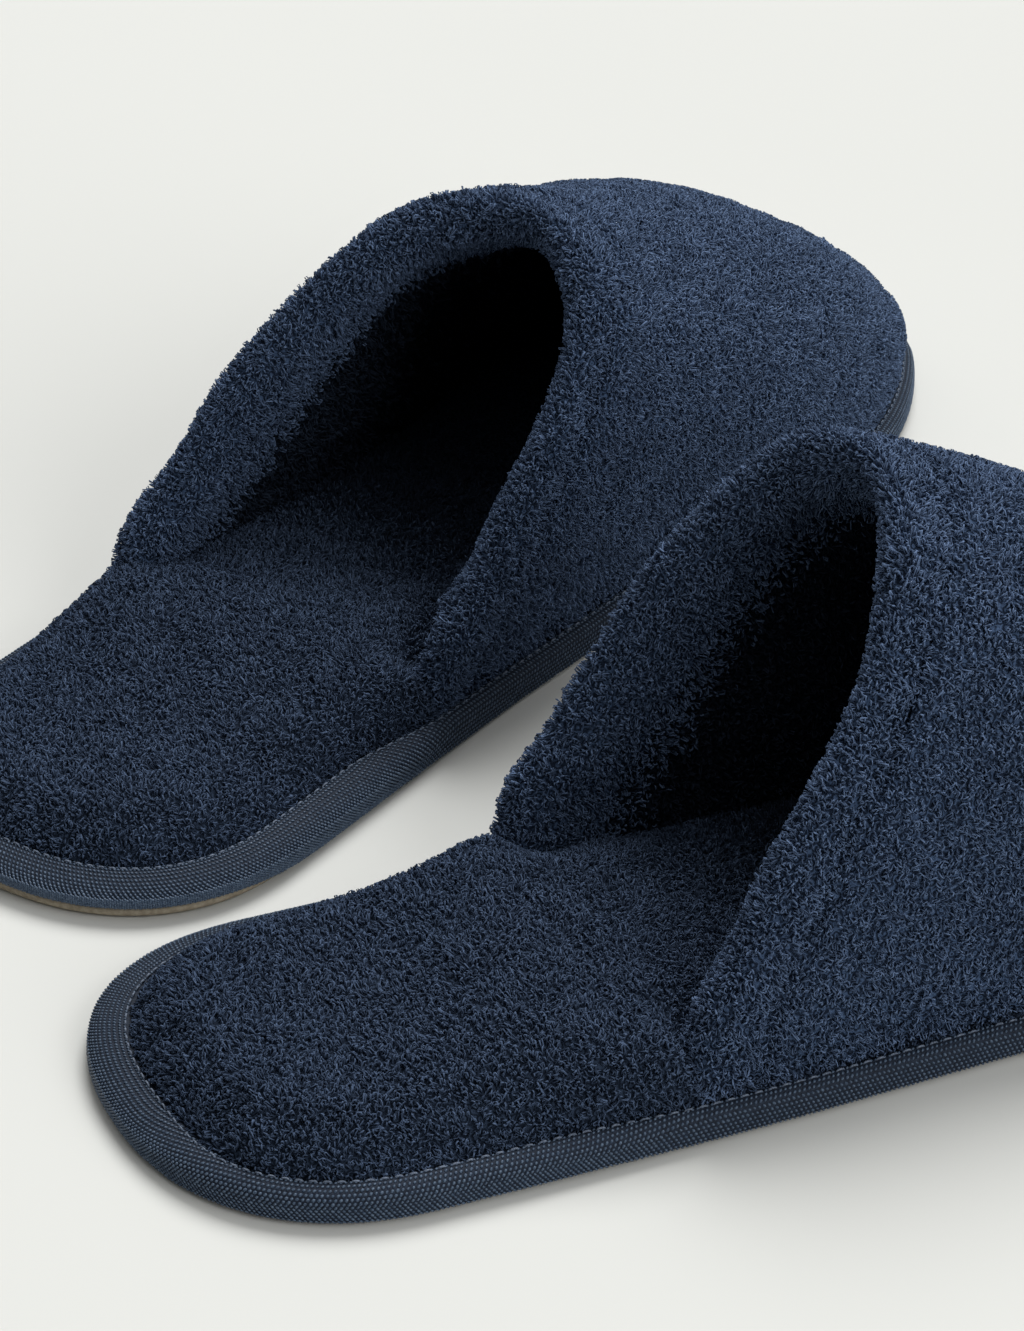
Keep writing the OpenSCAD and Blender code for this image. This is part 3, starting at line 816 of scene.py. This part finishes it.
def upper_rows(side):
    """One sheet from the toe over the collar's edge and back to the toe inside.

    Each row of points runs over the foot, from its outer side to its inner side."""
    a = np.linspace(0, math.pi, ARCH_STEPS + 1)
    t = np.sin(np.radians(90 * np.arange(LENGTH_STEPS) / LENGTH_STEPS)) * TOE_REACH
    outer_d, inner_d = SHEET_D, WALL_T + 0.6
    radius = (inner_d - outer_d) / 2
    back = radius + 1.5 - WING_BACK[side][0] * (1 - np.sin(a)) * (a < math.pi / 2)
    back -= WING_BACK[side][1] * (1 - np.sin(a)) * (a >= math.pi / 2)
    outer0, inner0 = upper_pt(0.0, a, outer_d, back), upper_pt(0.0, a, inner_d, back)
    ahead = upper_pt(0.02, a, WALL_T / 2) - upper_pt(0.0, a, WALL_T / 2)
    ahead /= np.linalg.norm(ahead, axis=1, keepdims=True)
    centre = (outer0 + inner0) / 2
    out = (outer0 - inner0) / np.linalg.norm(outer0 - inner0, axis=1, keepdims=True)
    rows = [upper_pt(step, a, outer_d, back) for step in t[::-1]]
    for b in np.radians(np.linspace(90, -90, EDGE_STEPS + 1))[1:-1]:
        rows.append(centre + (out * math.sin(b) - ahead * math.cos(b) * 1.1) * radius)
    rows += [upper_pt(step, a, inner_d, back) for step in t]
    rows = np.array(rows)
    share = np.clip((rows[..., 2] - BASE_Z) / UPPER_H, 0, 1)
    ahead = rows[..., 0] - CREST_X
    # Each upper has settled in its own way: the right one leans inwards, the left one sags and puffs
    if side == "right":
        rows[..., 2] += share * (RIGHT_RISE + RIGHT_MORE * smooth(ahead / RIGHT_RUN))
        rows[..., 1] += RIGHT_LEAN * share**LEAN_POWER * (1 - smooth(ahead / ARCH_RUN))
    else:
        puff = LEFT_PUFF * np.exp(-(((ahead - LEFT_PUFF_AT) / LEFT_PUFF_W) ** 2))
        rows[..., 2] += share * (puff - LEFT_SAG)
    return rows


def soften(rows, seed):
    """Swells the closed double wall under pressure, then adds the tucked hem and slow waves."""
    count, cols = len(rows), ARCH_STEPS + 1
    points = rows.reshape(-1, 3)
    shell = double_wall(count, cols)
    row = np.repeat(np.arange(count), cols)
    col = np.tile(np.arange(cols), count)
    stitched = np.abs(row - (LENGTH_STEPS - 3)) < 1
    hem_held = np.minimum(col, cols - 1 - col) < 2
    toe_held = np.minimum(row, count - 1 - row) < 2
    held = (stitched | hem_held | toe_held).astype(float)
    points = inflate(points, shell, held, 4.0, 1.8)
    normal = vertex_normals(points, shell[:1])
    low = np.exp(-np.clip(points[:, 2] - BASE_Z, 0, None) / HEM_RUN)
    outer = row < LENGTH_STEPS + EDGE_STEPS / 2
    tuck = HEM_TUCK * low * outer
    waves = WAVES[1] * lumps(points, WAVES[0], seed)
    waves = waves + SMALL_WAVES[1] * lumps(points, SMALL_WAVES[0], seed + 1)
    move = waves * (1 - low) - tuck
    points = points + normal * move[:, None]
    points[:, 2] -= HEM_DROP * low
    return points.reshape(rows.shape)


def double_wall(count, cols):
    """Faces that close the sheet into a wall: the sheet, the hems at its foot and the toe."""
    hem = []
    for c in (0, cols - 1):
        i = np.arange(count // 2)
        a, b = i * cols + c, (count - 1 - i) * cols + c
        quad = np.column_stack([a, a + cols, b - cols, b])
        hem.append(quad if c == 0 else quad[:, ::-1])
    j = np.arange(cols - 1)
    toe = np.column_stack([j, (count - 1) * cols + j, (count - 1) * cols + j + 1, j + 1])
    return [grid_faces(count, cols), *hem, toe]


def upper_foam(side, rows, fit):
    """Padding that fills the wall between cover and lining, and ends short of the toe's thin edge."""
    rows = rows[FOAM_END:-FOAM_END]
    count, cols = rows.shape[:2]
    points = rows.reshape(-1, 3)
    faces = double_wall(count, cols)
    points = points - vertex_normals(points, faces) * FOAM_IN
    obj = new_mesh(f"{side}_upper_foam", points, faces, side, PADDING)
    fit(obj)
    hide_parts(f"{side}_upper_padding")


def upper(side, seed, fit):
    """Cover, collar and lining: one wall of cloth over its foam, in three pieces, with their pile."""
    rows = soften(upper_rows(side), seed)
    upper_foam(side, rows, fit)
    fine = finer(finer(rows, 0), 1)
    count, cols = fine.shape[:2]
    flat = fine.reshape(-1, 3)
    normal = vertex_normals(flat, [grid_faces(count, cols)])
    into = (fine[..., 0] - fine[..., 0].min(axis=0)).ravel()
    outside = np.arange(len(flat)) < len(flat) / 2
    furrow = FURROW[2] * np.exp(-(((into - FURROW[0]) / FURROW[1]) ** 2)) * outside
    flat += normal * (FINE_LUMPS[1] * lumps(flat, FINE_LUMPS[0], seed + 2) - furrow)[:, None]
    collar_in, collar_out = 2 * (LENGTH_STEPS - 3), 2 * (LENGTH_STEPS + EDGE_STEPS + 2)
    grown = []
    for name, r0, r1, slot, loops in (
        ("upper_cover", 0, collar_in, "upper_terry", COVER_LOOPS),
        ("collar_roll", collar_in, collar_out, "collar_terry", COLLAR_LOOPS),
        ("upper_lining", collar_out, count - 1, "lining_terry", LINING_LOOPS),
    ):
        points = flat.reshape(fine.shape)[r0 : r1 + 1].reshape(-1, 3)
        faces = [grid_faces(r1 - r0 + 1, cols)]
        ends = {0: True, count - 1: False}
        for r, flip in ends.items():
            if r0 <= r <= r1:
                # the toe end closes on its own middle line
                edge = (r - r0) * cols + np.arange(cols)
                a, b = edge[: cols // 2], edge[: cols // 2 : -1]
                quad = np.column_stack([a[:-1], a[1:], b[1:], b[:-1]])
                mid = edge[cols // 2]
                tri = np.array([[a[-1], mid, b[-1]]])
                faces += [q[:, ::-1] if flip else q for q in (quad, tri)]
        # the lining takes the darkened ground of painted shade
        mat = LINING_PAINTED_SHADE if name == "upper_lining" else GROUND
        obj = new_mesh(f"{side}_{name}_cloth", points, faces, side, mat)
        thick(obj, CLOTH_T)
        fit(obj)
        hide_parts(f"{side}_{name}")
        density, height, yarn = loops
        if name == "upper_lining":
            density = density - 1.5 * smooth((points[:, 0] - 140) / 40)
            # Deeper into the shoe the lining's loops take the very dark yarns: painted shade inside the
            # shoe
            into = points[:, 0] - np.tile(points[:cols, 0], r1 - r0 + 1)
            inner = smooth((into - LINING_LIT[0]) / LINING_LIT[1])
            grown.append((points, faces, density * (1 - inner), height, yarn))
            density = 0.6 * density * inner
        grown.append((points, faces, density, height, yarn))
    pile("upper_pile", grown[:3], side, seed + 3, fit, UPPER_YARNS)
    pile("lining_pile", grown[3:], side, seed + 5, fit, PAINTED_SHADE_YARNS)


# ---------------------------------------------------------------- assembly
def build(side):
    """One slipper, each piece riding on its front body or left unparented in the pair's frame."""
    vamp, heel = f"{side}_slipper", f"{side}_heel"

    def bends(obj):
        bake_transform(obj)

    def rides(obj):
        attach(obj, vamp)

    def stands_for(obj, part):
        bends(obj)
        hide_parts(f"{side}_{part}_front", f"{side}_{part}_heel")

    seed = 100 if side == "right" else 200
    stands_for(binding_tape(side), "binding_tape")
    floats = tape_floats(side)
    bends(floats)
    stands_for(stitches(side), "binding_thread")
    stands_for(outsole(side), "outsole")

    def cover(obj):
        stands_for(obj, "insole_cover")

    insole(side, seed, cover, bends)
    upper(side, seed + 40, rides)

    stands_for(flat_layer(side, "midsole", MIDSOLE_Z, FOAM), "midsole")
    stands_for(flat_layer(side, "insole_board", BOARD_Z, BOARD), "insole_board")
    for end_name in ("front", "heel"):
        dress(f"{side}_insole_foam_{end_name}", PADDING)


def dress(node, mat):
    """Gives a CAD node that is kept as it is its own material."""
    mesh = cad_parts[node].data
    mesh.materials.clear()
    mesh.materials.append(mat)


# ---------------------------------------------------------------- stage
def floor():
    """Plain pale paper under the slippers."""
    m, tree, shader = material("floor", (0.63, 0.635, 0.61), 0.8, specular=0.0)
    paper = ramp(tree, noise(tree, 3.0), [(0.3, (0.625, 0.63, 0.604)), (0.7, (0.635, 0.64, 0.613))])
    tree.links.new(paper, shader.inputs["Base Color"])
    bpy.ops.mesh.primitive_plane_add(size=8.0, location=(0, 0, -0.0004))
    plane = bpy.context.object
    plane.name = "floor"
    plane.data.materials.append(m)


def soft_sun(name, towards, angle, strength):
    """Sun with a wide disc, for soft shadows: it shines from the direction towards."""
    light = bpy.data.lights.new(name, "SUN")
    light.angle = math.radians(angle)
    light.energy = strength
    obj = bpy.data.objects.new(name, light)
    bpy.context.scene.collection.objects.link(obj)
    obj.rotation_euler = (-Vector(towards)).to_track_quat("-Z", "Y").to_euler()


SKY_STRENGTH, SKY_TILT, SKY_LOW = 0.6, 0.5, 0.13
KEY_FROM, KEY_SPREAD, KEY_STRENGTH = (0.6, 0.48, 0.95), 35.0, 2.9
FILL_FROM, FILL_SPREAD, FILL_STRENGTH = (0.2, -1.0, 0.5), 45.0, 1.5


def lights():
    """Sky that is bright overhead and towards the toes, a soft key light and a lower fill light."""
    world = bpy.data.worlds.new("studio")
    bpy.context.scene.world = world
    world.use_nodes = True
    tree = world.node_tree
    background = tree.nodes["Background"]
    height = tree.nodes.new("ShaderNodeSeparateXYZ")
    tree.links.new(tree.nodes.new("ShaderNodeTexCoord").outputs["Generated"], height.inputs[0])
    tilt = sums(tree, "ADD", height.outputs["Z"], sums(tree, "MULTIPLY", height.outputs["X"], SKY_TILT))
    sky = ramp(tree, tilt, [(0.0, (SKY_LOW,) * 3), (1.0, (1.0, 1.0, 1.0))])
    tree.links.new(sky, background.inputs["Color"])
    background.inputs["Strength"].default_value = SKY_STRENGTH
    soft_sun("key", KEY_FROM, KEY_SPREAD, KEY_STRENGTH)
    soft_sun("fill", FILL_FROM, FILL_SPREAD, FILL_STRENGTH)


def camera():
    """Long lens from behind the heels, looking down on the pair."""
    data = bpy.data.cameras.new("camera")
    data.lens = LENS_MM
    data.sensor_width = SENSOR_MM
    data.clip_start = 0.01
    obj = bpy.data.objects.new("camera", data)
    bpy.context.scene.collection.objects.link(obj)
    obj.location = CAMERA_PLACE
    obj.rotation_euler = (math.radians(90 - CAMERA_PITCH), 0, math.radians(CAMERA_TURN))
    bpy.context.scene.camera = obj


bpy.context.scene.view_settings.view_transform = "Standard"
camera()
lights()
floor()
for slipper in ("right", "left"):
    build(slipper)
